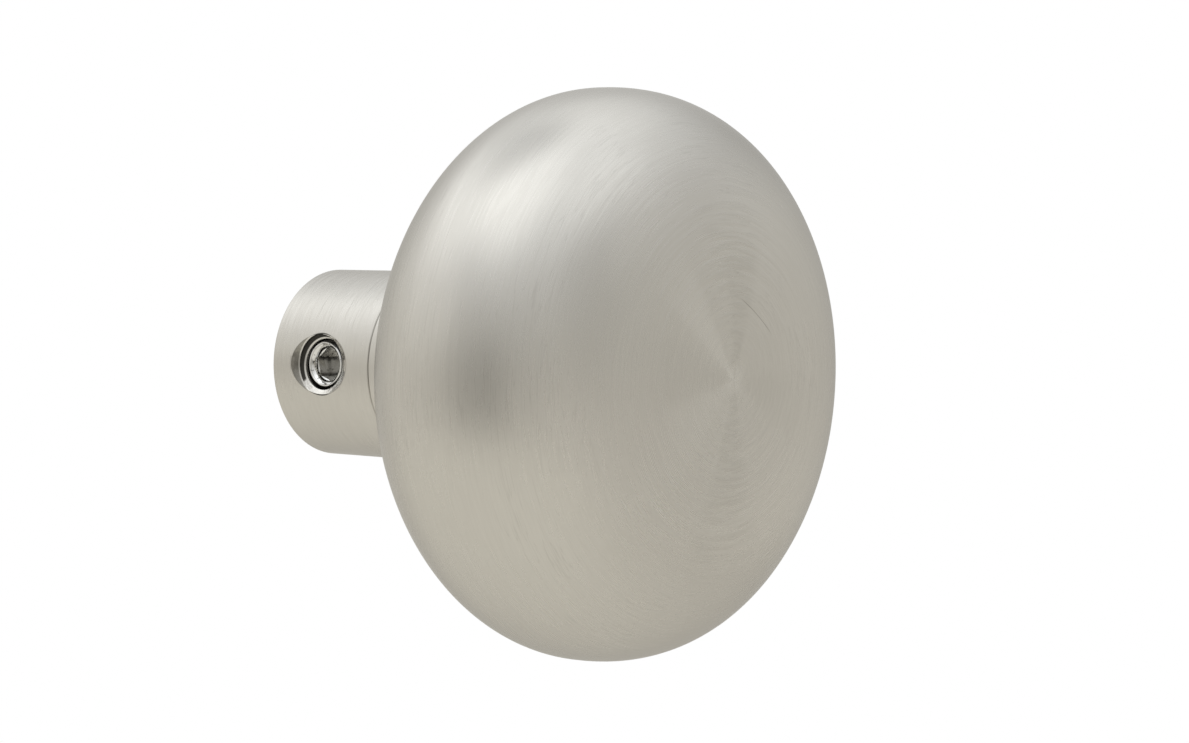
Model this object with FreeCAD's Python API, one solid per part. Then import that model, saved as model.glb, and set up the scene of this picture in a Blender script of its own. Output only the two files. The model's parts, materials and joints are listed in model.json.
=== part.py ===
# Hollow wrought door knob on a turned shank, clamped to its spindle by one set screw.
#
# Two drawn brass shells make the head. The back shell ends in a collar that is soldered over
# the spigot of the turned shank, and a nut inside the head clamps the collar against the
# shank's shoulder. The face shell is then soldered on over a joining ring, and the whole
# outside is brushed and nickel plated.
#
# Millimetres, +Z up. The spindle's axis is Y and the face looks towards -Y. The origin is the
# middle of the shank's rear face, where the spindle enters, so a height u above that face is
# at Y = -u. The set screw lies along X, on the -X side.
import FreeCAD, Part
import math
import os

from FreeCAD import Vector

# Head
head_diameter = 57.15            # widest part of the head
face_rise = 15.5                 # the widest part to the middle of the face
face_rise_power = 2.3            # powers of the superellipse that shapes the face
face_girth_power = 3.4
back_depth = 17.4                # half axis of the ellipse that shapes the back
cove_start_diameter = 29.0       # where the back's ellipse runs into the hollow cove
collar_straight = 2.41           # the collar's cylinder, from the seam to the cove
shell_wall = 1.4

# Shank
shank_diameter = 20.0
shank_exposed = 14.3             # rear face to the seam with the collar
rear_edge_break = 0.5
seam_edge_break = 0.12           # hairline chamfer on both sides of the seam
solder_gap = 0.05                # radial, between the spigot and the collar
end_shoulder = 1.55              # radial step from the spigot to the threaded end
end_flat_depth = 0.8             # the two flats that key the plate, below the thread
end_past_nut = 1.5
spindle_bore_diameter = 8.334    # 21/64 in, the minor bore of a 3/8 in - 20 thread

# Set screw, 1/4 in - 20, and its countersunk hole
screw_height = 7.15              # rear face to the screw's axis
screw_thread_diameter = 5.52     # the thread's pitch cylinder
screw_clearance = 0.03           # radial, between the two pitch cylinders
screw_recess = 1.0               # the screw's face below the shank's surface
screw_point_gap = 0.073          # the screw's point outside the spindle bore
screw_socket_flats = 3.175       # 1/8 in hexagon
screw_socket_floor = 2.46        # the screw's point to the bottom of the socket
screw_edge_break = 0.35
screw_cup_diameter = 3.0         # cupped point
screw_cup_angle = 118.0
countersink_flare = 1.18         # radial, from the hole to the countersink's rim
countersink_angle = 118.0

# Pieces inside the head
plate_lap = 2.5                  # radial, past the start of the cove
plate_thickness = 2.4
plate_clearance = 0.1            # around the keyed end of the shank
washer_width = 3.45
washer_thickness = 2.0
washer_clearance = 0.3
washer_split = 1.6
nut_wall = 4.0                   # from the thread to the nut's flats
nut_thickness = 7.0
nut_clearance = 0.05             # radial, on the shank's end thread
nut_corner_angle = 30.0
ring_width = 8.0                 # joining ring, half of it on each side of the joint
ring_wall = 1.2
solder_width = 3.0               # solder fillet between the spigot and the collar
solder_height = 4.2

# Worked out from the sizes above
head_radius = head_diameter / 2
shank_radius = shank_diameter / 2
collar_bore_radius = shank_radius - shell_wall
spigot_radius = collar_bore_radius - solder_gap
end_radius = spigot_radius - end_shoulder
bore_radius = spindle_bore_diameter / 2
screw_radius = screw_thread_diameter / 2
screw_hole_radius = screw_radius + screw_clearance
screw_face = shank_radius - screw_recess        # the screw's two ends, from the spindle's axis
screw_point = bore_radius + screw_point_gap
plate_radius = cove_start_diameter / 2 + plate_lap
washer_radius = end_radius + washer_clearance + washer_width
nut_flats = 2 * (end_radius + nut_wall)

# The back's outline falls from the widest part along an ellipse, then turns through the cove
cove_angle = math.acos(cove_start_diameter / head_diameter)
crown_run = (head_radius * math.sin(cove_angle), back_depth * math.cos(cove_angle))
cove_slope = math.hypot(*crown_run)
cove_tangent = (cove_start_diameter / 2 - shank_radius) * cove_slope / crown_run[0]
crown_depth = back_depth * math.sin(cove_angle)
cove_depth = cove_tangent * (1 + crown_run[1] / cove_slope)
widest_height = shank_exposed + collar_straight + cove_depth + crown_depth
plate_seat = widest_height - (back_depth - shell_wall) * math.sin(cove_angle)
washer_seat = plate_seat + plate_thickness
nut_seat = washer_seat + washer_thickness
shank_end = nut_seat + nut_thickness + end_past_nut

# Drawing aids
FACE_CURVE_SPANS = 24            # pieces of the interpolated face curve
BEYOND = 1.0                     # how far a cutting shape runs past what it cuts


def at(radius, height):
    """A point of a turned outline: its radius and its height above the rear face."""
    return Vector(radius, -height, 0)


def line(start, end):
    return Part.LineSegment(start, end).toShape()


def polyline(points):
    return [line(start, end) for start, end in zip(points, points[1:])]


def turned(edges):
    """The solid that a closed outline sweeps in a full turn about the spindle's axis."""
    face = Part.Face(Part.Wire(edges))
    solid = face.revolve(Vector(0, 0, 0), Vector(0, 1, 0), 360)
    if solid.Volume < 0:
        solid.reverse()
    return solid


def ring(inner_radius, outer_radius, low, high):
    return turned(polyline([
        at(inner_radius, low),
        at(outer_radius, low),
        at(outer_radius, high),
        at(inner_radius, high),
        at(inner_radius, low),
    ]))


def disc(radius, low, high):
    return ring(0, radius, low, high)


def hexagon(across_flats, length):
    """A hexagonal bar along +Z from the origin."""
    corner_radius = across_flats / 2 / math.cos(math.pi / 6)
    corners = []
    for side in range(6):
        angle = side * math.pi / 3
        corners.append(Vector(corner_radius * math.cos(angle), corner_radius * math.sin(angle), 0))
    return Part.Face(Part.Wire(polyline(corners + corners[:1]))).extrude(Vector(0, 0, length))


def face_curve(inset):
    """The face from its rim to its middle, a superellipse set in from the outside by inset."""
    radius = head_radius - inset
    rise = face_rise - inset
    points = []
    for step in range(FACE_CURVE_SPANS + 1):
        angle = math.pi / 2 * step / FACE_CURVE_SPANS
        across = math.cos(angle) if step < FACE_CURVE_SPANS else 0
        points.append(at(radius * across ** (2 / face_girth_power),
                         widest_height + rise * math.sin(angle) ** (2 / face_rise_power)))
    curve = Part.BSplineCurve()
    curve.interpolate(Points=points, InitialTangent=Vector(0, -1, 0), FinalTangent=Vector(-1, 0, 0))
    return curve.toShape()


def back_curves(inset):
    """The back from its rim to the end of the cove: an ellipse and the tangent arc to the neck.

    Returns the two edges and the height at which the cove meets the neck.
    """
    radius = head_radius - inset
    depth = back_depth - inset
    neck_radius = shank_radius - inset
    centre = at(0, widest_height)
    ellipse = Part.Ellipse(centre + Vector(radius, 0, 0), centre + Vector(0, depth, 0), centre)
    start = centre + Vector(radius * math.cos(cove_angle), depth * math.sin(cove_angle), 0)
    heading = Vector(-radius * math.sin(cove_angle), depth * math.cos(cove_angle), 0)
    heading.normalize()
    tangent_length = (start.x - neck_radius) / -heading.x
    corner = start + heading * tangent_length
    finish = corner + Vector(0, tangent_length, 0)
    half_turn = math.acos(heading.y) / 2
    cove_radius = tangent_length / math.tan(half_turn)
    cove_centre = finish + Vector(cove_radius, 0, 0)
    middle = cove_centre + (corner - cove_centre).normalize() * cove_radius
    crown = Part.ArcOfEllipse(ellipse, 0, cove_angle).toShape()
    cove = Part.Arc(start, middle, finish).toShape()
    return [crown, cove], -finish.y


def head_cavity():
    """The space inside both shells, which trims what lies against them."""
    back, cove_end = back_curves(shell_wall)
    neck_and_axis = polyline([
        at(collar_bore_radius, cove_end),
        at(collar_bore_radius, shank_exposed),
        at(0, shank_exposed),
        at(0, widest_height + face_rise - shell_wall),
    ])
    return turned([face_curve(shell_wall)] + back + neck_and_axis)


def make_face_shell():
    pole_wall = line(at(0, widest_height + face_rise), at(0, widest_height + face_rise - shell_wall))
    rim = line(at(head_radius, widest_height), at(head_radius - shell_wall, widest_height))
    return turned([face_curve(0), pole_wall, face_curve(shell_wall), rim])


def make_back_shell():
    outside, outer_cove_end = back_curves(0)
    inside, inner_cove_end = back_curves(shell_wall)
    collar = polyline([
        at(shank_radius, outer_cove_end),
        at(shank_radius, shank_exposed + seam_edge_break),
        at(shank_radius - seam_edge_break, shank_exposed),
        at(collar_bore_radius, shank_exposed),
        at(collar_bore_radius, inner_cove_end),
    ])
    rim = line(at(head_radius, widest_height), at(head_radius - shell_wall, widest_height))
    return turned(outside + collar + inside[::-1] + [rim])


def make_joining_ring(cavity):
    """Band inside the joint of the two shells, shaped to both of them."""
    low = widest_height - ring_width / 2
    high = widest_height + ring_width / 2
    return ring(head_radius - shell_wall - ring_wall, head_radius, low, high).common(cavity)


def screw_hole():
    """The set screw's hole from the spindle bore outwards, with its countersink."""
    rim_radius = screw_hole_radius + countersink_flare
    slope = math.tan(math.radians(countersink_angle / 2))
    cone_depth = rim_radius / slope
    hole = Part.makeCylinder(screw_hole_radius, shank_radius + BEYOND)
    apex = Vector(0, 0, shank_radius - cone_depth)
    cone = Part.makeCone(0, rim_radius + BEYOND * slope, cone_depth + BEYOND, apex)
    return on_screw_axis(hole.fuse(cone))


def on_screw_axis(shape):
    """Turns +Z to -X and moves the shape up to the set screw's height."""
    shape.rotate(Vector(0, 0, 0), Vector(0, 1, 0), -90)
    shape.translate(Vector(0, -screw_height, 0))
    return shape


def end_blank(clearance, low, high):
    """The shank's threaded end with its two flats, or with a clearance the hole it fits."""
    radius = end_radius + clearance
    width = 2 * (radius - end_flat_depth)
    corner = Vector(-radius, -high, -width / 2)
    slab = Part.makeBox(2 * radius, high - low, width, corner)
    return disc(radius, low, high).common(slab)


def make_shank():
    body = turned(polyline([
        at(0, 0),
        at(shank_radius - rear_edge_break, 0),
        at(shank_radius, rear_edge_break),
        at(shank_radius, shank_exposed - seam_edge_break),
        at(shank_radius - seam_edge_break, shank_exposed),
        at(spigot_radius, shank_exposed),
        at(spigot_radius, plate_seat),
        at(0, plate_seat),
        at(0, 0),
    ]))
    shank = body.fuse(end_blank(0, plate_seat, shank_end)).removeSplitter()
    bore = disc(bore_radius, -BEYOND, shank_end + BEYOND)
    return shank.cut(bore).cut(screw_hole())


def make_neck_solder(cavity):
    """Fillet of solder round the spigot, where the collar opens into the head."""
    low = back_curves(shell_wall)[1]
    fillet = turned(polyline([
        at(spigot_radius, low),
        at(spigot_radius + solder_width, low),
        at(spigot_radius, low + solder_height),
        at(spigot_radius, low),
    ]))
    return fillet.common(cavity)


def make_backing_plate(cavity):
    """Plate that presses the collar on to the shank's shoulder, seated in the back shell."""
    plate = disc(plate_radius, plate_seat, washer_seat).common(cavity)
    return plate.cut(end_blank(plate_clearance, plate_seat - BEYOND, washer_seat + BEYOND))


def make_lock_washer():
    washer = ring(end_radius + washer_clearance, washer_radius, washer_seat, nut_seat)
    corner = Vector(0, -nut_seat - BEYOND, -washer_split / 2)
    split = Part.makeBox(washer_radius + BEYOND, washer_thickness + 2 * BEYOND, washer_split, corner)
    return washer.cut(split)


def make_hub_nut():
    nut = hexagon(nut_flats, nut_thickness)
    nut.rotate(Vector(0, 0, 0), Vector(1, 0, 0), 90)
    nut.translate(Vector(0, -nut_seat, 0))
    slope = math.tan(math.radians(nut_corner_angle))
    corner_radius = nut_flats / 2 / math.cos(math.pi / 6)
    drop = (corner_radius - nut_flats / 2) * slope
    top = nut_seat + nut_thickness
    rounded = turned(polyline([
        at(0, nut_seat),
        at(nut_flats / 2, nut_seat),
        at(corner_radius, nut_seat + drop),
        at(corner_radius, top - drop),
        at(nut_flats / 2, top),
        at(0, top),
        at(0, nut_seat),
    ]))
    return nut.common(rounded).cut(disc(end_radius + nut_clearance, nut_seat - BEYOND, top + BEYOND))


def make_set_screw():
    """Headless screw with a hexagon socket, drawn up +Z from its cupped point."""
    narrow = screw_radius - screw_edge_break
    barrel_length = screw_face - screw_point - 2 * screw_edge_break
    barrel_foot = Vector(0, 0, screw_point + screw_edge_break)
    barrel = Part.makeCylinder(screw_radius, barrel_length, barrel_foot)
    point = Part.makeCone(narrow, screw_radius, screw_edge_break, Vector(0, 0, screw_point))
    brow_foot = Vector(0, 0, screw_face - screw_edge_break)
    brow = Part.makeCone(screw_radius, narrow, screw_edge_break, brow_foot)
    screw = barrel.fuse([point, brow]).removeSplitter()
    socket_bottom = screw_point + screw_socket_floor
    socket = hexagon(screw_socket_flats, screw_face - socket_bottom + BEYOND)
    socket.translate(Vector(0, 0, socket_bottom))
    cup_radius = screw_cup_diameter / 2
    cup_depth = cup_radius / math.tan(math.radians(screw_cup_angle / 2))
    cup = Part.makeCone(cup_radius, 0, cup_depth, Vector(0, 0, screw_point))
    return on_screw_axis(screw.cut(socket).cut(cup))


def build():
    cavity = head_cavity()
    return {
        "face_shell": make_face_shell(),
        "back_shell": make_back_shell(),
        "joining_ring": make_joining_ring(cavity),
        "shank": make_shank(),
        "neck_solder": make_neck_solder(cavity),
        "backing_plate": make_backing_plate(cavity),
        "lock_washer": make_lock_washer(),
        "hub_nut": make_hub_nut(),
        "set_screw": make_set_screw(),
    }


def main():
    os.makedirs("parts", exist_ok=True)
    for name, shape in build().items():
        shape.exportStep(os.path.join("parts", name + ".step"))
        print(name, "valid", shape.isValid(), "solids", len(shape.Solids), "volume", round(shape.Volume, 2))


main()
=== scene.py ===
import json
import math

import bmesh
import bpy
from mathutils import Matrix, Vector


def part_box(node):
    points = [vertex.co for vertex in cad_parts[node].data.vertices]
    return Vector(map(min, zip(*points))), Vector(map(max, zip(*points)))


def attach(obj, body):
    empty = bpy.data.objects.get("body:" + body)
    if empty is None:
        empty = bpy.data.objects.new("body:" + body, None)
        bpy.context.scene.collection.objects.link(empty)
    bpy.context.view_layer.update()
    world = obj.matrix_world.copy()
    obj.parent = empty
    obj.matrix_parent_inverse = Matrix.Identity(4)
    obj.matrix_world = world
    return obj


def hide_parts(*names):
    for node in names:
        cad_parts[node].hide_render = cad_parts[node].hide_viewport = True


# Door knob in satin nickel: a hollow head on a turned shank, held on its spindle by a set screw.
#
# Metres, +Z up. The spindle's axis is Y and the face looks towards -Y. A height is measured
# from the shank's rear face, so a height h is at Y = -h. The set screw lies along X, on the
# -X side.

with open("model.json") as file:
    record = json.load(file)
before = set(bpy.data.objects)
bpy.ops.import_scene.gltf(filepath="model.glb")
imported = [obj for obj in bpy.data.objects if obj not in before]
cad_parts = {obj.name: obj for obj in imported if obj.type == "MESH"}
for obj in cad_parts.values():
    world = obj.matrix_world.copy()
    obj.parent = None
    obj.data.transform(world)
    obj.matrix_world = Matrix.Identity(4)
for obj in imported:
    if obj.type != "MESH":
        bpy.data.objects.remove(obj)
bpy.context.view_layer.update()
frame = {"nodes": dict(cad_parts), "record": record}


# ---------------------------------------------------------------- sizes

MM = 0.001

# Read from the CAD nodes
HEAD_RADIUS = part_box("face_shell")[1].z
HEAD_TOP = -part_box("face_shell")[0].y
WIDEST_HEIGHT = -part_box("face_shell")[1].y
SEAM_HEIGHT = -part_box("back_shell")[1].y
SHANK_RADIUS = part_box("shank")[1].x
SHANK_END = -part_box("shank")[0].y
PLATE_SEAT = -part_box("backing_plate")[1].y
SCREW_HEIGHT = -(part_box("set_screw")[0].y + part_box("set_screw")[1].y) / 2
SCREW_FACE = -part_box("set_screw")[0].x
SCREW_POINT = -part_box("set_screw")[1].x
BORE_RADIUS = frame["record"]["mounts"][0]["dims"]["r_mm"] * MM

# Head
FACE_RISE_POWER = 2.3
FACE_GIRTH_POWER = 3.4
BACK_DEPTH = 17.4 * MM
COVE_START_RADIUS = 14.5 * MM
SHELL_WALL = 1.4 * MM
HEAD_STEPS = 288

# Shank
REAR_EDGE_BREAK = 0.5 * MM
SEAM_EDGE_BREAK = 0.12 * MM
SPIGOT_RADIUS = 8.55 * MM
END_RADIUS = 7.0 * MM
END_ROOT = 6.55 * MM
END_FLAT_DEPTH = 0.8 * MM
END_EDGE_BREAK = 0.5 * MM
END_SKIN = 0.1 * MM             # left on the blank for its thread to cut away
SHANK_STEPS = 288
SIDE_RINGS = 12

# Threads
PITCH = 1.27 * MM
CREST_FLAT = 0.16 * MM
BORE_THREAD_DEPTH = 0.56 * MM
BORE_CREST_FLAT = 0.2 * MM
BORE_LEAD_IN = 0.55 * MM
THREAD_START = 0.38 * MM
THREAD_REACH = 14 * MM          # from the spindle's axis to beyond the shank's side
THREAD_STEPS = 60
PLAIN_STEPS = 96

# Set screw
SCREW_CREST = 3.12 * MM
SCREW_ROOT = 2.44 * MM
SCREW_EDGE_BREAK = 0.82 * MM
SCREW_SKIN = 0.2 * MM           # left on the blank for its thread to cut away
HOLE_CREST = 2.7 * MM
HOLE_ROOT = 3.2 * MM
HOLE_ROOT_FLAT = 0.4 * MM
COUNTERSINK_RIM = 3.97 * MM
COUNTERSINK_SLOPE = math.tan(math.radians(59))
COUNTERSINK_STEPS = 128
SOCKET_FLATS = 3.175 * MM
SOCKET_DEPTH = 2.3 * MM
SOCKET_TURN = math.radians(40)
MOUTH_RADIUS = 2.2 * MM

# The rounded mouth of the socket: its radius, and its depth below the screw's face
MOUTH = (
    (2.1 * MM, 0.1 * MM),
    (1.93 * MM, 0.22 * MM),
    (1.81 * MM, 0.43 * MM),
    (1.73 * MM, 0.7 * MM),
)
MOUTH_FLOOR = 1.7 * MM
CUP_RADIUS = 1.5 * MM
CUP_DEPTH = 0.9 * MM

SHARP = math.radians(32)
MERGE = 1e-7


# ---------------------------------------------------------------- making meshes


def sharpen(work):
    """Marks the edges that stay crisp when the faces are shaded smooth."""
    for edge in work.edges:
        edge.smooth = edge.calc_face_angle(0) < SHARP
    for face in work.faces:
        face.smooth = True


def close_up(work):
    bmesh.ops.remove_doubles(work, verts=work.verts, dist=MERGE)
    bmesh.ops.recalc_face_normals(work, faces=work.faces)


def made_object(name, work):
    sharpen(work)
    mesh = bpy.data.meshes.new(name)
    work.to_mesh(mesh)
    work.free()
    made = bpy.data.objects.new(name, mesh)
    bpy.context.scene.collection.objects.link(made)
    return made


def turned(outline, steps, closed=True):
    """Sweeps an outline of (radius, height) points once about the spindle's axis."""
    work = bmesh.new()
    corners = [work.verts.new((radius, -height, 0)) for radius, height in outline]
    ends = corners[1:] + corners[:1] if closed else corners[1:]
    sides = [work.edges.new(pair) for pair in zip(corners, ends)]
    bmesh.ops.spin(
        work, geom=corners + sides, cent=(0, 0, 0), axis=(0, 1, 0),
        angle=math.tau, steps=steps, use_merge=True,
    )
    close_up(work)
    return work


def trim(work, spot, outwards):
    """Cuts off all that lies beyond a plane, and closes the cut."""
    cut = bmesh.ops.bisect_plane(
        work, geom=work.verts[:] + work.edges[:] + work.faces[:], dist=MERGE,
        plane_co=spot, plane_no=outwards, clear_outer=True,
    )
    rim = [edge for edge in cut["geom_cut"] if isinstance(edge, bmesh.types.BMEdge)]
    bmesh.ops.contextual_create(work, geom=rim)


def threaded_rod(root, crest, crest_flat, length):
    """A right-handed thread of 60 degrees along +Z, whose ends are cut square.

    Every thread starts in the middle of its root, so a screw's and its hole's are in step.
    """
    run = (crest - root) * math.tan(math.radians(30))
    half_root = (PITCH - crest_flat) / 2 - run
    turns = math.ceil(length / PITCH) + 2
    work = bmesh.new()
    rise = [
        (root, -half_root),
        (root, half_root),
        (crest, half_root + run),
        (crest, half_root + run + crest_flat),
        (root, PITCH - half_root),
    ]
    foot = THREAD_START - 1.5 * PITCH
    corners = [work.verts.new((radius, 0, along + foot)) for radius, along in rise]
    sides = [work.edges.new(pair) for pair in zip(corners, corners[1:])]
    bmesh.ops.spin(
        work, geom=corners + sides, cent=(0, 0, 0), axis=(0, 0, 1),
        dvec=(0, 0, PITCH / THREAD_STEPS), angle=math.tau * turns, steps=THREAD_STEPS * turns,
    )
    bmesh.ops.remove_doubles(work, verts=work.verts, dist=MERGE)
    trim(work, (0, 0, 0), (0, 0, -1))
    trim(work, (0, 0, length), (0, 0, 1))
    close_up(work)
    return work


def combined(name, first, second, operation):
    """Joins, cuts or trims the first closed mesh by the second."""
    base = made_object(name, first)
    tool = made_object(name + "_tool", second)
    modifier = base.modifiers.new("tool", "BOOLEAN")
    modifier.object = tool
    modifier.operation = operation
    modifier.solver = "EXACT"
    bpy.context.view_layer.update()
    shape = base.evaluated_get(bpy.context.evaluated_depsgraph_get())
    work = bmesh.new()
    work.from_mesh(shape.data)
    for spent in (base, tool):
        mesh = spent.data
        bpy.data.objects.remove(spent)
        bpy.data.meshes.remove(mesh)
    return work


def on_screw_axis(work):
    """Turns +Z to -X and moves the mesh to the set screw's height."""
    turn = Matrix.Rotation(-math.pi / 2, 4, "Y")
    shift = Matrix.Translation((0, -SCREW_HEIGHT, 0))
    bmesh.ops.transform(work, matrix=shift @ turn, verts=work.verts)
    return work


def about_z(outline, steps):
    """A turned mesh whose axis is Z, from an open outline of (radius, distance along Z) points."""
    work = turned(outline, steps, closed=False)
    bmesh.ops.transform(work, matrix=Matrix.Rotation(-math.pi / 2, 4, "X"), verts=work.verts)
    return work


# ---------------------------------------------------------------- the head's outlines


def face_outline(inset, points):
    """The face from its rim to its middle, a superellipse that flattens towards the middle."""
    outline = []
    for step in range(points + 1):
        angle = math.pi / 2 * (1 - (1 - step / points) ** 1.7)
        across = math.cos(angle) if step < points else 0
        radius = (HEAD_RADIUS - inset) * across ** (2 / FACE_GIRTH_POWER)
        rise = (HEAD_TOP - WIDEST_HEIGHT - inset) * math.sin(angle) ** (2 / FACE_RISE_POWER)
        outline.append((radius, WIDEST_HEIGHT + rise))
    return outline


def back_outline(inset, points):
    """The back from its rim along an ellipse, and round the hollow cove to the neck."""
    girth = HEAD_RADIUS - inset
    depth = BACK_DEPTH - inset
    neck = SHANK_RADIUS - inset
    last = math.acos(COVE_START_RADIUS / HEAD_RADIUS)
    outline = []
    for step in range(points + 1):
        angle = last * step / points
        outline.append((girth * math.cos(angle), WIDEST_HEIGHT - depth * math.sin(angle)))
    start_radius, start_height = outline[-1]
    inward, down = girth * math.sin(last), depth * math.cos(last)
    slope = math.hypot(inward, down)
    tangent = (start_radius - neck) * slope / inward
    cove_turn = math.pi / 2 - math.atan2(down, inward)
    cove_radius = tangent / math.tan(cove_turn / 2)
    cove_centre = neck + cove_radius
    cove_foot = start_height - tangent * down / slope - tangent
    for step in range(1, points // 2 + 1):
        angle = cove_turn * (1 - step / (points // 2))
        outline.append((
            cove_centre - cove_radius * math.cos(angle),
            cove_foot + cove_radius * math.sin(angle),
        ))
    return outline


# ---------------------------------------------------------------- pieces


def make_head_face():
    outside = face_outline(0, 64)
    inside = face_outline(SHELL_WALL, 24)
    work = turned(inside[::-1] + outside, HEAD_STEPS, closed=False)
    return made_object("head_face", work)


def make_head_back():
    outside = back_outline(0, 56)
    inside = back_outline(SHELL_WALL, 20)
    collar = [
        (SHANK_RADIUS, SEAM_HEIGHT + SEAM_EDGE_BREAK),
        (SHANK_RADIUS - SEAM_EDGE_BREAK, SEAM_HEIGHT),
        (SHANK_RADIUS - SHELL_WALL, SEAM_HEIGHT),
    ]
    return made_object("head_back", turned(outside + collar + inside[::-1], HEAD_STEPS))


def shank_blank():
    """The turned bar with its spigot, before it is drilled and tapped."""
    side_low = REAR_EDGE_BREAK
    side_high = SEAM_HEIGHT - SEAM_EDGE_BREAK
    side = [
        (SHANK_RADIUS, side_low + (side_high - side_low) * ring / SIDE_RINGS)
        for ring in range(SIDE_RINGS + 1)
    ]
    outline = [(0, 0), (SHANK_RADIUS - REAR_EDGE_BREAK, 0)] + side + [
        (SHANK_RADIUS - SEAM_EDGE_BREAK, SEAM_HEIGHT),
        (SPIGOT_RADIUS, SEAM_HEIGHT),
        (SPIGOT_RADIUS, PLATE_SEAT),
        (0, PLATE_SEAT),
    ]
    return turned(outline, SHANK_STEPS, closed=False)


def shank_end():
    """The threaded end with its two flats, which keys the plate and takes the nut."""
    foot = PLATE_SEAT - MM
    wide = END_RADIUS + END_SKIN
    blank = turned(
        [
            (0, foot),
            (wide, foot),
            (wide, SHANK_END - END_EDGE_BREAK - END_SKIN),
            (END_RADIUS - END_EDGE_BREAK, SHANK_END),
            (0, SHANK_END),
        ],
        PLAIN_STEPS, closed=False,
    )
    thread = threaded_rod(END_ROOT, END_RADIUS, CREST_FLAT, SHANK_END - foot + 2 * MM)
    turn = Matrix.Rotation(math.pi / 2, 4, "X")
    shift = Matrix.Translation((0, MM - foot, 0))
    bmesh.ops.transform(thread, matrix=shift @ turn, verts=thread.verts)
    end = combined("shank_end", blank, thread, "INTERSECT")
    for side in (1, -1):
        trim(end, (0, 0, side * (END_RADIUS - END_FLAT_DEPTH)), (0, 0, side))
    close_up(end)
    return end


def bore_thread():
    length = SHANK_END + 4 * MM
    work = threaded_rod(BORE_RADIUS, BORE_RADIUS + BORE_THREAD_DEPTH, BORE_CREST_FLAT, length)
    turn = Matrix.Rotation(math.pi / 2, 4, "X")
    bmesh.ops.transform(work, matrix=Matrix.Translation((0, 2 * MM, 0)) @ turn, verts=work.verts)
    return work


def bore_mouth():
    wide = BORE_RADIUS + BORE_LEAD_IN
    top = wide - BORE_RADIUS + MM
    outline = [(0, -MM), (wide + MM, -MM), (BORE_RADIUS - MM, top), (0, top)]
    return turned(outline, PLAIN_STEPS, closed=False)


def screw_hole_thread():
    return on_screw_axis(threaded_rod(HOLE_CREST, HOLE_ROOT, HOLE_ROOT_FLAT, THREAD_REACH))


def countersink():
    beyond = 1.5 * MM
    depth = COUNTERSINK_RIM / COUNTERSINK_SLOPE
    outline = [
        (0, SHANK_RADIUS - depth),
        (COUNTERSINK_RIM + beyond * COUNTERSINK_SLOPE, SHANK_RADIUS + beyond),
        (0, SHANK_RADIUS + beyond),
    ]
    return on_screw_axis(about_z(outline, COUNTERSINK_STEPS))


def make_shank():
    work = combined("shank_turned", shank_blank(), shank_end(), "UNION")
    work = combined("shank_turned", work, bore_thread(), "DIFFERENCE")
    work = combined("shank_turned", work, bore_mouth(), "DIFFERENCE")
    work = combined("shank_turned", work, screw_hole_thread(), "DIFFERENCE")
    work = combined("shank_turned", work, countersink(), "DIFFERENCE")
    return made_object("shank_turned", work)


def make_set_screw():
    """A headless screw with a hexagon socket and a cupped point."""
    narrow = SCREW_CREST - SCREW_EDGE_BREAK
    wide = SCREW_CREST + SCREW_SKIN
    outline = [
        (0, SCREW_POINT + CUP_DEPTH),
        (CUP_RADIUS, SCREW_POINT),
        (narrow, SCREW_POINT),
        (wide, SCREW_POINT + SCREW_EDGE_BREAK + SCREW_SKIN),
        (wide, SCREW_FACE - SCREW_EDGE_BREAK - SCREW_SKIN),
        (narrow, SCREW_FACE),
        (MOUTH_RADIUS, SCREW_FACE),
    ]
    outline += [(radius, SCREW_FACE - depth) for radius, depth in MOUTH]
    outline.append((0, SCREW_FACE - MOUTH_FLOOR))
    blank = about_z(outline, PLAIN_STEPS)
    thread = threaded_rod(SCREW_ROOT, SCREW_CREST, CREST_FLAT, THREAD_REACH)
    work = combined("set_screw_cut", blank, thread, "INTERSECT")
    work = combined("set_screw_cut", work, socket_broach(), "DIFFERENCE")
    on_screw_axis(work)
    return made_object("set_screw_cut", work)


def socket_broach():
    corner_radius = SOCKET_FLATS / 2 / math.cos(math.pi / 6)
    work = bmesh.new()
    turn = Matrix.Rotation(SOCKET_TURN, 4, "Z")
    made = bmesh.ops.create_circle(work, cap_ends=True, segments=6, radius=corner_radius, matrix=turn)
    bmesh.ops.translate(work, vec=(0, 0, SCREW_FACE - SOCKET_DEPTH), verts=made["verts"])
    grown = bmesh.ops.extrude_face_region(work, geom=work.faces[:])
    top = [item for item in grown["geom"] if isinstance(item, bmesh.types.BMVert)]
    bmesh.ops.translate(work, vec=(0, 0, SOCKET_DEPTH + MM), verts=top)
    close_up(work)
    return work


# ---------------------------------------------------------------- materials


class Link:
    """A node's output. Python arithmetic on it adds the Math nodes."""

    def __init__(self, sheet, socket):
        self.sheet = sheet
        self.socket = socket

    def also(self, name):
        return Link(self.sheet, self.socket.node.outputs[name])

    def math(self, operation, *others):
        inputs = dict(enumerate((self,) + others))
        return self.sheet.node("ShaderNodeMath", {"operation": operation}, inputs)

    def __add__(self, other):
        return self.math("ADD", other)

    def __sub__(self, other):
        return self.math("SUBTRACT", other)

    def __mul__(self, other):
        return self.math("MULTIPLY", other)

    def __truediv__(self, other):
        return self.math("DIVIDE", other)

    def __pow__(self, other):
        return self.math("POWER", other)

    def __rsub__(self, other):
        return self.sheet.node("ShaderNodeMath", {"operation": "SUBTRACT"}, {0: other, 1: self})

    __radd__ = __add__
    __rmul__ = __mul__


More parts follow.
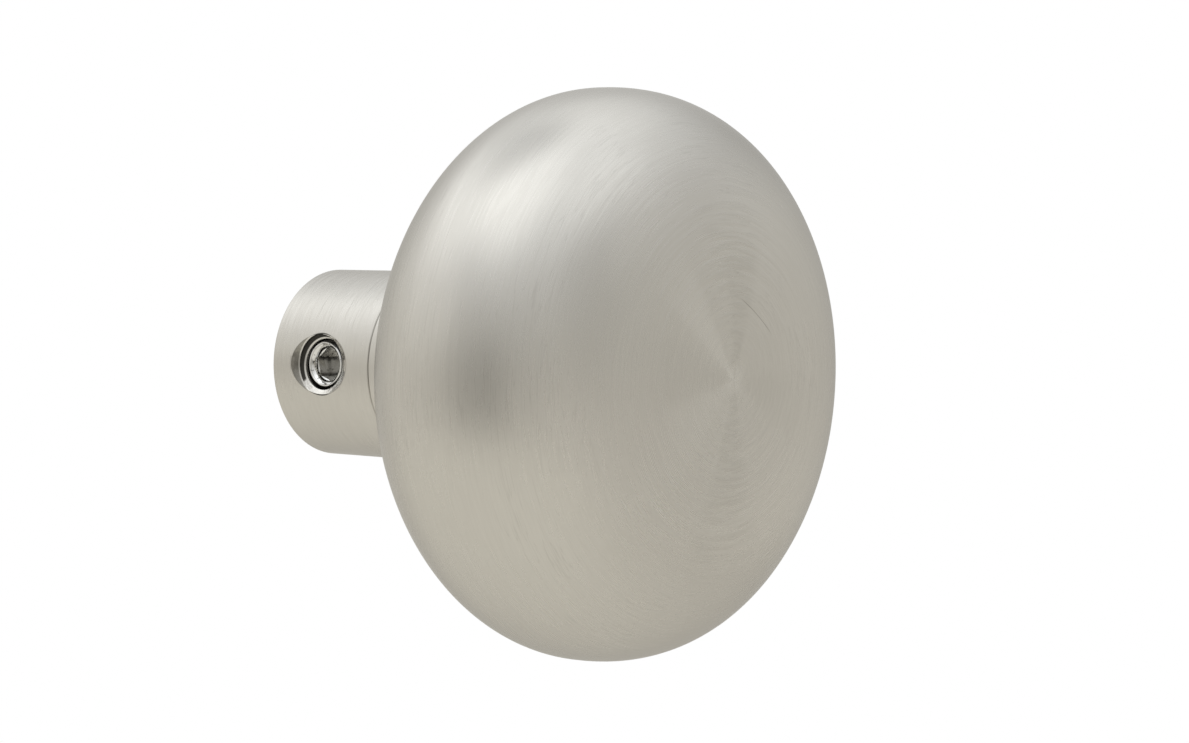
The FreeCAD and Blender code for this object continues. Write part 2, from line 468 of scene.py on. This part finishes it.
class Sheet:
    """The node sheet of one material or of the world."""

    def __init__(self, tree):
        self.tree = tree
        self.tree.nodes.clear()

    def node(self, kind, settings=None, inputs=None):
        """Adds a node: its settings first, then its inputs. Returns its first live output."""
        made = self.tree.nodes.new(kind)
        for name, value in (settings or {}).items():
            if name == "stops":
                self.set_stops(made.color_ramp, value)
            else:
                setattr(made, name, value)
        for name, value in (inputs or {}).items():
            if isinstance(value, Link):
                self.tree.links.new(value.socket, made.inputs[name])
            else:
                made.inputs[name].default_value = value
        live = [socket for socket in made.outputs if socket.enabled]
        return Link(self, live[0]) if live else made

    def set_stops(self, ramp, stops):
        while len(ramp.elements) < len(stops):
            ramp.elements.new(1)
        for element, (position, colour) in zip(ramp.elements, stops):
            element.position = position
            element.color = colour

    def blend(self, factor, first, second, way="MIX"):
        """Mixes two colours."""
        return self.node(
            "ShaderNodeMix", {"data_type": "RGBA", "blend_type": way},
            {0: factor, 6: first, 7: second},
        )

    def smooth(self, value, low, high):
        """0 below low, 1 above high, and a smooth step between."""
        return self.node(
            "ShaderNodeMapRange", {"interpolation_type": "SMOOTHSTEP"},
            {"Value": value, "From Min": low, "From Max": high},
        )

    def near(self, value, middle, reach):
        """1 where value is at middle, falling to 0 at reach from it."""
        return 1 - self.smooth((value - middle).math("ABSOLUTE"), 0, reach)

    def bump(self, height, distance):
        """Raises the surface by distance where height is 1."""
        return self.node(
            "ShaderNodeBump", {},
            {"Strength": 1.0, "Distance": distance, "Height": height},
        )

    def noise(self, place, scale, detail=2, roughness=0.5):
        return self.node(
            "ShaderNodeTexNoise", {},
            {"Vector": place, "Scale": scale, "Detail": detail, "Roughness": roughness},
        )

    def place(self):
        """The place on the object, in metres."""
        return self.node("ShaderNodeTexCoord").also("Object")

    def axes(self, spot):
        """The three numbers of a place."""
        x = self.node("ShaderNodeSeparateXYZ", {}, {"Vector": spot})
        return x, x.also("Y"), x.also("Z")


def new_finish(name):
    material = bpy.data.materials.new(name)
    material.use_nodes = True
    return material, Sheet(material.node_tree)


def finish_off(sheet, inputs):
    shader = sheet.node("ShaderNodeBsdfPrincipled", {}, inputs)
    sheet.node("ShaderNodeOutputMaterial", {}, {"Surface": shader})


def turning(sheet, spot, across, around):
    """Marks that run round the spindle's axis: across sets how fine, around how short."""
    x, y, z = sheet.axes(spot)
    radius = (x * x + z * z) ** 0.5
    circle = sheet.node(
        "ShaderNodeCombineXYZ", {},
        {"X": radius * across, "Y": y * across, "Z": x / radius * around},
    )
    return sheet.node(
        "ShaderNodeTexNoise", {"noise_dimensions": "4D"},
        {"Vector": circle, "W": z / radius * around, "Scale": 1.0, "Detail": 2.0, "Roughness": 0.6},
    )


SATIN_LOW = (0.615, 0.592, 0.545, 1)
SATIN_HIGH = (0.675, 0.655, 0.612, 1)
SATIN_TINT = (0.78, 0.78, 0.78, 1)
SCRATCHED_NICKEL = (0.40, 0.385, 0.35, 1)
BRIGHT_NICKEL = (0.79, 0.77, 0.725, 1)
DULL_NICKEL = (0.46, 0.44, 0.40, 1)
SCREW_LOW = (0.74, 0.735, 0.71, 1)
SCREW_HIGH = (0.92, 0.915, 0.90, 1)
# Dark colours for dirt and residue, also used for painted shade in the countersink, the tapped hole and
# the socket
GRIME_AND_PAINTED_SHADE = (0.02, 0.018, 0.013, 1)
RESIDUE_AND_PAINTED_SHADE = (0.17, 0.16, 0.135, 1)
BRASS_LOW = (0.58, 0.46, 0.24, 1)
BRASS_HIGH = (0.66, 0.54, 0.30, 1)
TARNISH = (0.34, 0.23, 0.11, 1)
ZINC_LOW = (0.50, 0.50, 0.48, 1)
ZINC_HIGH = (0.64, 0.635, 0.60, 1)
ZINC_RUBBED = (0.74, 0.73, 0.71, 1)
SOLDER_LOW = (0.50, 0.49, 0.47, 1)
SOLDER_HIGH = (0.66, 0.65, 0.63, 1)
FLUX_STAIN = (0.28, 0.19, 0.09, 1)

# How fine each pattern is, in waves to the metre
HAIR_SCALE = 16000
BRUSH_SCALE = 7000
ARC_SCALE = 2000
TOOL_MARK_SCALE = 6000
PATCH_SCALE = 90
CLOUD_SCALE = 38
MOTTLE_SCALE = 1500
SCREW_PATCH_SCALE = 900
SCUFF_SCALE = 2600
TARNISH_SCALE = 160
ZINC_CLOUD_SCALE = 220
ZINC_GRAIN_SCALE = 5200
WRINKLE_SCALE = 1100
FLUX_SCALE = 320

# The height of each bump
SATIN_BUMP = 1e-6
SCUFF_BUMP = 12e-6
TOOL_MARK_BUMP = 6e-6
ZINC_BUMP = 8e-6
WRINKLE_BUMP = 40e-6

# Where a finish changes
FACE_LOW = 48 * MM              # the face's own finish fades in between these two heights
FACE_HIGH = 50 * MM
BRUSH_TURNS = 12 * MM           # the face's brush marks grow shorter from this radius
BRUSH_SHORT = 22 * MM           # to this one
ZINC_CORNER = 11.6 * MM         # the nut's corners are rubbed outside this radius
SCREW_THREAD_EDGE = 2.32 * MM
SOCKET_WALL_TOP = 0.72 * MM     # the socket's walls are painted darker below this depth, painted shade
SOCKET_CORNER = 1.66 * MM
# the painted dark reflection in the socket's mouth lies at this radius
DARK_REFLECTION_RADIUS = 1.92 * MM
LIP_RADIUS = 2.14 * MM
CONE_FINISH_END = 8.4 * MM      # the spindle's axis to where the countersink's finish ends
BORE_SIDE = 5.0 * MM            # the spindle's axis to the inner end of the thread painted dark as painted shade

# Painted sheen round the middle of the face: lighter and darker wedges, painted highlights and painted
# shade. Columns: the way they point (towards +X, upwards), the cosine of their half width, and how much
# brighter or duller they are
PAINTED_SHEEN_FANS = (
    (-0.69, 0.724, 0.962, 0.26),
    (-0.99, 0.10, 0.90, -0.16),
    (-0.84, -0.54, 0.92, 0.12),
    (0.10, 0.995, 0.955, -0.15),
    (-0.03, -1.0, 0.955, -0.13),
    (0.97, -0.22, 0.90, -0.10),
)

# The one stray scratch on the face, an arc
STRAY_X = -9.6 * MM
STRAY_Z = -13.7 * MM
STRAY_RADIUS = 24.0 * MM
STRAY_WIDTH = 0.07 * MM


def painted_sheen_and_face_marks(sheet, x, z, radius, on_face, arcs, colour):
    """The painted sheen wedges (painted highlights and painted shade), the pale spot in the middle and
    the stray scratch on the knob's face.
    """
    inner = on_face * (1 - sheet.smooth(radius, 9 * MM, 17 * MM))
    # Painted highlights and painted shade: each wedge from the middle lightens or darkens the colour
    for towards_x, up, edge, amount in PAINTED_SHEEN_FANS:
        lean = (x * towards_x + z * up) / radius
        fan = sheet.smooth(lean, edge, 1.0) * inner
        colour = sheet.blend(fan * abs(amount), colour, BRIGHT_NICKEL if amount > 0 else DULL_NICKEL)
    upright = sheet.smooth((z / radius).math("ABSOLUTE"), 0.93, 0.99) * on_face
    rings = sheet.smooth(arcs, 0.45, 0.6) * upright * (1 - sheet.smooth(radius, 16 * MM, 21 * MM))
    colour = sheet.blend(rings * 0.16, colour, DULL_NICKEL)
    middle = on_face * (1 - sheet.smooth(radius, 0.7 * MM, 1.9 * MM))
    colour = sheet.blend(middle * 0.22, colour, BRIGHT_NICKEL)
    from_centre = ((x - STRAY_X) ** 2 + (z - STRAY_Z) ** 2) ** 0.5
    length = sheet.smooth(x, 0.6 * MM, 1.8 * MM) * (1 - sheet.smooth(x, 5.0 * MM, 6.4 * MM))
    stray = sheet.near(from_centre, STRAY_RADIUS, STRAY_WIDTH) * length * on_face
    return sheet.blend(stray * 0.55, colour, RESIDUE_AND_PAINTED_SHADE)


def worn_edges(sheet, y, radius, patch, colour):
    """The dark line and the rubbed edge at the shank's rear, and the groove of the seam."""
    on_shank = sheet.smooth(radius, SHANK_RADIUS - 0.6 * MM, SHANK_RADIUS - 0.45 * MM)
    rear_line = sheet.near(y, -REAR_EDGE_BREAK, 0.09 * MM) * on_shank
    rubbed = sheet.smooth(y, -REAR_EDGE_BREAK, -0.3 * MM) * on_shank
    seam = sheet.near(y, -SEAM_HEIGHT, 0.13 * MM) * on_shank
    colour = sheet.blend(rubbed * patch * 0.7, colour, BRIGHT_NICKEL)
    colour = sheet.blend(rear_line * 0.45, colour, DULL_NICKEL)
    return sheet.blend(seam * 0.55, colour, RESIDUE_AND_PAINTED_SHADE)


def make_satin_nickel():
    material, sheet = new_finish("satin_nickel")
    spot = sheet.place()
    x, y, z = sheet.axes(spot)
    radius = (x * x + z * z) ** 0.5
    hair = turning(sheet, spot, HAIR_SCALE, 3)
    long_brush = turning(sheet, spot, BRUSH_SCALE, 3)
    short_brush = turning(sheet, spot, BRUSH_SCALE, 9)
    outer = sheet.smooth(radius, BRUSH_TURNS, BRUSH_SHORT)
    brush = long_brush + (short_brush - long_brush) * outer
    arcs = turning(sheet, spot, ARC_SCALE, 2)
    patch = sheet.noise(spot, PATCH_SCALE, 3)
    cloud = sheet.noise(spot, CLOUD_SCALE, 2)
    colour = sheet.blend(patch, SATIN_LOW, SATIN_HIGH)
    streaks = sheet.smooth(brush, 0.35, 0.65)
    colour = sheet.blend(streaks * 0.07, colour, DULL_NICKEL)
    furrow = sheet.smooth(arcs, 0.40, 0.62) * (1 - outer * 0.7)
    colour = sheet.blend(furrow * 0.05, colour, DULL_NICKEL)
    scratch = sheet.near(arcs, 0.5, 0.02) * sheet.smooth(patch, 0.45, 0.6)
    colour = sheet.blend(scratch * 0.22, colour, SCRATCHED_NICKEL)
    on_face = 1 - sheet.smooth(y, -FACE_HIGH, -FACE_LOW)
    colour = painted_sheen_and_face_marks(sheet, x, z, radius, on_face, arcs, colour)
    colour = worn_edges(sheet, y, radius, patch, colour)
    roughness = 0.24 + streaks * 0.05 + cloud * 0.06
    height = hair * 2.5 + brush * 3 + arcs * (1 - outer * 0.75) * 70 - scratch * 3
    bump = sheet.bump(height, SATIN_BUMP)
    # The countersink is a bright cut cone. Its rear side is painted darker as painted shade, mottled
    # with residue, with a painted dark line round its rim and a painted highlight round its foot. The
    # tapped hole below it is painted dark as painted shade, except the crest of its thread, which has a
    # painted highlight.
    from_screw_axis = ((y + SCREW_HEIGHT) ** 2 + z * z) ** 0.5
    beyond_cone = from_screw_axis - (COUNTERSINK_RIM - (x + SHANK_RADIUS) * COUNTERSINK_SLOPE)
    outside = 1 - sheet.smooth(x, -CONE_FINISH_END - 0.2 * MM, -CONE_FINISH_END)
    cone = 1 - sheet.smooth(beyond_cone.math("ABSOLUTE"), 0.015 * MM, 0.05 * MM)
    past_rim = sheet.smooth(from_screw_axis, COUNTERSINK_RIM, COUNTERSINK_RIM + 0.1 * MM)
    cone = cone * outside * (1 - past_rim)
    rear_side = sheet.smooth(y + SCREW_HEIGHT, 0.8 * MM, 2.8 * MM)
    mottle = sheet.noise(spot, MOTTLE_SCALE, 3)
    # Painted shade on the countersink's rear side, mottled with residue
    colour = sheet.blend(cone * rear_side * (0.35 + mottle * 0.7), colour, RESIDUE_AND_PAINTED_SHADE)
    skin = sheet.smooth(radius, SHANK_RADIUS - 0.03 * MM, SHANK_RADIUS - 0.005 * MM) * outside
    clear_of_rim = sheet.smooth(from_screw_axis, COUNTERSINK_RIM + 0.2 * MM, COUNTERSINK_RIM + 0.4 * MM)
    skin = skin * (1 - clear_of_rim)
    # A painted dark line on the shank round the countersink's rim, painted shade
    rim = sheet.near(beyond_cone, 0.02 * MM, 0.16 * MM) * skin
    colour = sheet.blend(rim * 0.5, colour, RESIDUE_AND_PAINTED_SHADE)
    # A painted highlight round the countersink's foot
    foot = cone * (1 - sheet.smooth(from_screw_axis, HOLE_ROOT + 0.08 * MM, HOLE_ROOT + 0.16 * MM))
    colour = sheet.blend(foot * 0.8, colour, BRIGHT_NICKEL)
    in_hole = 1 - sheet.smooth(from_screw_axis, HOLE_ROOT, HOLE_ROOT + 0.15 * MM)
    in_wall = in_hole * (1 - sheet.smooth(x, -BORE_SIDE - 0.4 * MM, -BORE_SIDE))
    crest = 1 - sheet.smooth(from_screw_axis, HOLE_CREST + 0.13 * MM, HOLE_CREST + 0.2 * MM)
    painted_hole_shade = in_wall * sheet.smooth(beyond_cone, 0.015 * MM, 0.05 * MM) * (1 - crest * 0.9)
    # A painted highlight on the crest of the hole's thread, and painted shade over the rest of the
    # hole's wall
    colour = sheet.blend(crest * in_wall, colour, BRIGHT_NICKEL)
    colour = sheet.blend(painted_hole_shade * 0.97, colour, GRIME_AND_PAINTED_SHADE)
    finish_off(sheet, {
        "Base Color": colour,
        "Metallic": 1 - painted_hole_shade * 0.6,
        "Roughness": roughness - cone * 0.13 + painted_hole_shade * 0.3,
        "Normal": bump,
        "Specular Tint": SATIN_TINT,
    })
    return material


def make_screw_nickel():
    material, sheet = new_finish("screw_nickel")
    spot = sheet.place()
    x, y, z = sheet.axes(spot)
    from_axis = ((y + SCREW_HEIGHT) ** 2 + z * z) ** 0.5
    patch = sheet.noise(spot, SCREW_PATCH_SCALE, 3)
    scuff = sheet.noise(spot, SCUFF_SCALE, 3, 0.5)
    colour = sheet.blend(patch, SCREW_LOW, SCREW_HIGH)
    depth = x + SCREW_FACE
    walls = sheet.smooth(depth, SOCKET_WALL_TOP, SOCKET_WALL_TOP + 0.28 * MM)
    corner = sheet.smooth(from_axis, SOCKET_CORNER, SOCKET_CORNER + 0.14 * MM) * walls
    thread = sheet.smooth(from_axis, SCREW_THREAD_EDGE, SCREW_THREAD_EDGE + 0.1 * MM)
    floor = sheet.smooth(depth, SOCKET_DEPTH - 0.5 * MM, SOCKET_DEPTH) * (1 - thread)
    rear_side = sheet.smooth(y + SCREW_HEIGHT, 1.2 * MM, 1.6 * MM)
    painted_dark_reflection = sheet.near(z, 0.22 * MM, 0.5 * MM) * sheet.near(from_axis, DARK_REFLECTION_RADIUS, 0.22 * MM)
    painted_dark_reflection = painted_dark_reflection * rear_side * sheet.smooth(scuff, 0.36, 0.5)
    lip = sheet.near(from_axis, LIP_RADIUS, 0.06 * MM)
    pits = sheet.smooth(scuff, 0.60, 0.68) * (1 - thread)
    # Painted shade on the socket's walls below their top, darker painted shade in its corners, and
    # painted shade on its floor
    colour = sheet.blend(walls * (1 - thread) * 0.22, colour, RESIDUE_AND_PAINTED_SHADE)
    colour = sheet.blend(corner * (1 - thread) * 0.8, colour, GRIME_AND_PAINTED_SHADE)
    colour = sheet.blend(floor * 0.5, colour, RESIDUE_AND_PAINTED_SHADE)
    # A painted dark reflection on the rear side of the socket's mouth, broken up by the scuffs
    colour = sheet.blend(painted_dark_reflection * 0.9, colour, GRIME_AND_PAINTED_SHADE)
    # A painted dark ring at the lip of the socket's mouth, painted shade
    colour = sheet.blend(lip * 0.5, colour, RESIDUE_AND_PAINTED_SHADE)
    colour = sheet.blend(pits * 0.6, colour, GRIME_AND_PAINTED_SHADE)
    # The screw's chamfer and thread are painted black, painted shadow in the gap round the screw
    colour = sheet.blend(thread * 0.9, colour, GRIME_AND_PAINTED_SHADE)
    roughness = 0.07 + scuff * 0.10 + thread * 0.25
    bump = sheet.bump(scuff, SCUFF_BUMP)
    finish_off(sheet, {
        "Base Color": colour, "Metallic": 1.0, "Roughness": roughness, "Normal": bump,
    })
    return material


def make_raw_brass():
    """Bare turned brass, with fine tool marks and a patchy tarnish."""
    material, sheet = new_finish("raw_brass")
    spot = sheet.place()
    marks = turning(sheet, spot, TOOL_MARK_SCALE, 1)
    tarnish = sheet.smooth(sheet.noise(spot, TARNISH_SCALE, 4, 0.6), 0.42, 0.66)
    colour = sheet.blend(marks, BRASS_LOW, BRASS_HIGH)
    colour = sheet.blend(tarnish * 0.6, colour, TARNISH)
    bump = sheet.bump(marks, TOOL_MARK_BUMP)
    finish_off(sheet, {
        "Base Color": colour, "Metallic": 1.0, "Roughness": 0.24 + tarnish * 0.22, "Normal": bump,
    })
    return material


def make_zinc_steel():
    """Zinc plate on pressed steel: a cloudy, slightly warm grey, rubbed bright at its corners."""
    material, sheet = new_finish("zinc_steel")
    spot = sheet.place()
    x, y, z = sheet.axes(spot)
    radius = (x * x + z * z) ** 0.5
    cloud = sheet.noise(spot, ZINC_CLOUD_SCALE, 4, 0.6)
    grain = sheet.noise(spot, ZINC_GRAIN_SCALE, 2)
    colour = sheet.blend(cloud, ZINC_LOW, ZINC_HIGH)
    rubbed = sheet.smooth(radius, ZINC_CORNER, ZINC_CORNER + MM) * sheet.smooth(grain, 0.4, 0.6)
    colour = sheet.blend(rubbed * 0.5, colour, ZINC_RUBBED)
    bump = sheet.bump(grain, ZINC_BUMP)
    finish_off(sheet, {
        "Base Color": colour,
        "Metallic": 1.0,
        "Roughness": 0.30 + cloud * 0.18 - rubbed * 0.08,
        "Normal": bump,
    })
    return material


def make_solder():
    """Dull, slightly wrinkled solder with brown flux stains."""
    material, sheet = new_finish("solder")
    spot = sheet.place()
    wrinkle = sheet.noise(spot, WRINKLE_SCALE, 4, 0.6)
    flux = sheet.smooth(sheet.noise(spot, FLUX_SCALE, 3), 0.5, 0.7)
    colour = sheet.blend(wrinkle, SOLDER_LOW, SOLDER_HIGH)
    colour = sheet.blend(flux * 0.5, colour, FLUX_STAIN)
    bump = sheet.bump(wrinkle, WRINKLE_BUMP)
    finish_off(sheet, {
        "Base Color": colour,
        "Metallic": 1 - flux * 0.5,
        "Roughness": 0.38 + wrinkle * 0.2,
        "Normal": bump,
    })
    return material


# ---------------------------------------------------------------- camera, light and floor


CAMERA_AZIMUTH = math.radians(-50.865)
CAMERA_ELEVATION = math.radians(1.602)
CAMERA_ROLL = math.radians(1.376)
CAMERA_DISTANCE = 270.17 * MM
CAMERA_ACROSS = -1.474 * MM
CAMERA_RISE = 0.26 * MM
CAMERA_LENS = 81.80


def make_camera():
    back = Vector((
        math.sin(CAMERA_AZIMUTH) * math.cos(CAMERA_ELEVATION),
        -math.cos(CAMERA_AZIMUTH) * math.cos(CAMERA_ELEVATION),
        math.sin(CAMERA_ELEVATION),
    ))
    right = Vector((math.cos(CAMERA_AZIMUTH), math.sin(CAMERA_AZIMUTH), 0))
    up = back.cross(right)
    aim = Vector((0, -WIDEST_HEIGHT, 0))
    spot = aim + back * CAMERA_DISTANCE + right * CAMERA_ACROSS + up * CAMERA_RISE
    turn = Matrix((right, up, back)).transposed().to_4x4() @ Matrix.Rotation(CAMERA_ROLL, 4, "Z")
    lens = bpy.data.cameras.new("camera")
    lens.lens = CAMERA_LENS
    lens.sensor_width = 36
    lens.clip_start = 0.01
    camera = bpy.data.objects.new("camera", lens)
    camera.matrix_world = Matrix.Translation(spot) @ turn
    bpy.context.scene.collection.objects.link(camera)
    bpy.context.scene.camera = camera


# Soft lights and gaps in the studio round the knob: azimuth from the face towards +X, elevation,
# the reach of its soft edge, all in degrees, and how much brighter or darker it is than the room
STUDIO_PATCHES = (
    (-92, 67, 32, 0.46),
    (-155, 51, 34, 0.36),
    (-168, 22, 40, 0.19),
    (10, 54, 26, 0.20),
    (110, 68, 30, 0.20),
    (-128, 19, 26, 0.20),
    (180, 66, 20, -0.46),
    (-87, -7, 42, -0.17),
    (-48, 0, 36, -0.13),
    (-81, -11, 28, -0.19),
    (8, 22, 34, -0.15),
    (95, 36, 36, -0.12),
    (78, 0, 36, 0.13),
    (-150, -12, 40, 0.06),
    (26, 27, 15, 0.15),
    (134, 34, 30, 0.13),
    (150, -15, 30, 0.13),
)
PATCH_CORE = math.radians(5)    # a patch has its full strength within this of its middle

# The room from straight down to straight up
ROOM_TONES = (
    (0.0, (0.675, 0.655, 0.607, 1)),
    (0.35, (0.69, 0.67, 0.62, 1)),
    (0.50, (0.60, 0.585, 0.545, 1)),
    (0.63, (0.675, 0.67, 0.645, 1)),
    (0.75, (0.72, 0.72, 0.715, 1)),
    (0.855, (0.91, 0.925, 0.935, 1)),
    (1.0, (0.98, 1.0, 1.02, 1)),
)
PANEL_GAP_AZIMUTH = 51
PANEL_GAP_WIDTH = math.radians(9)
PANEL_GAP_SHADE = -0.08


def towards(sheet, way, azimuth, elevation):
    """The cosine of the angle between a way and the given direction."""
    turn, tilt = math.radians(azimuth), math.radians(elevation)
    across = math.cos(tilt)
    aim = Vector((math.sin(turn) * across, -math.cos(turn) * across, math.sin(tilt)))
    return sheet.node("ShaderNodeVectorMath", {"operation": "DOT_PRODUCT"}, {0: way, 1: aim})


def make_studio_light():
    world = bpy.data.worlds.new("studio")
    world.use_nodes = True
    bpy.context.scene.world = world
    sheet = Sheet(world.node_tree)
    way = sheet.node("ShaderNodeTexCoord").also("Generated")
    height = sheet.axes(way)[2]
    room = sheet.node("ShaderNodeValToRGB", {"stops": ROOM_TONES}, {"Fac": height * 0.5 + 0.5})
    level = 1
    for azimuth, elevation, reach, amount in STUDIO_PATCHES:
        patch = sheet.smooth(
            towards(sheet, way, azimuth, elevation),
            math.cos(math.radians(reach)), math.cos(PATCH_CORE),
        )
        level = patch * amount + level
    along = towards(sheet, way, PANEL_GAP_AZIMUTH, 0)
    beside = towards(sheet, way, PANEL_GAP_AZIMUTH + 90, 0)
    gap = sheet.near(beside, 0, PANEL_GAP_WIDTH) * sheet.smooth(along, 0.5, 0.85)
    level = gap * PANEL_GAP_SHADE + level
    glow = sheet.node("ShaderNodeBackground", {}, {"Color": room, "Strength": level})
    plain = sheet.node("ShaderNodeBackground", {}, {"Color": (1, 1, 1, 1), "Strength": 1.0})
    seen = sheet.node("ShaderNodeLightPath").also("Is Camera Ray")
    both = sheet.node("ShaderNodeMixShader", {}, {0: seen, 1: glow, 2: plain})
    sheet.node("ShaderNodeOutputWorld", {}, {"Surface": both})


FLOOR_RADIUS = 0.6
FLOOR_DROP = 0.16
FLOOR_SOLID = 0.3               # the floor is solid to the first radius and gone at the second
FLOOR_GONE = 0.58
# The floor's colour on its -X side, and the colour of its painted shade towards +X
FLOOR_NEAR = (0.80, 0.77, 0.70, 1)
FLOOR_PAINTED_SHADE = (0.67, 0.64, 0.585, 1)


def make_floor():
    """A round pale floor, painted darker towards +X as painted shade, that fades out at its rim into
    the white room.
    """
    work = bmesh.new()
    bmesh.ops.create_circle(
        work, cap_ends=True, segments=96, radius=FLOOR_RADIUS,
        matrix=Matrix.Translation((0, 0, -FLOOR_DROP)),
    )
    floor = made_object("floor", work)
    material, sheet = new_finish("pale_floor")
    x, y, z = sheet.axes(sheet.place())
    radius = (x * x + y * y) ** 0.5
    solid = 1 - sheet.smooth(radius, FLOOR_SOLID, FLOOR_GONE)
    # Painted shade: the floor is painted darker towards +X
    painted_shade_side = sheet.smooth(x + y * 0.1, -0.12, 0.22)
    colour = sheet.blend(painted_shade_side, FLOOR_NEAR, FLOOR_PAINTED_SHADE)
    finish_off(sheet, {"Base Color": colour, "Roughness": 0.9, "Alpha": solid})
    floor.data.materials.append(material)


# ---------------------------------------------------------------- the knob


def give_finish(node, material):
    for slot in frame["nodes"][node].material_slots:
        slot.material = material


def put_on(piece, body, node, material):
    piece.data.materials.clear()
    piece.data.materials.append(material)
    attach(piece, body)
    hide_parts(node)


make_camera()
make_studio_light()
make_floor()

satin_nickel = make_satin_nickel()
screw_nickel = make_screw_nickel()

put_on(make_head_face(), "knob", "face_shell", satin_nickel)
put_on(make_head_back(), "knob", "back_shell", satin_nickel)
put_on(make_shank(), "knob", "shank", satin_nickel)
put_on(make_set_screw(), "set_screw", "set_screw", screw_nickel)

zinc_steel = make_zinc_steel()
give_finish("joining_ring", make_raw_brass())
give_finish("neck_solder", make_solder())
give_finish("backing_plate", zinc_steel)
give_finish("lock_washer", zinc_steel)
give_finish("hub_nut", zinc_steel)

bpy.context.scene.view_settings.view_transform = "Standard"
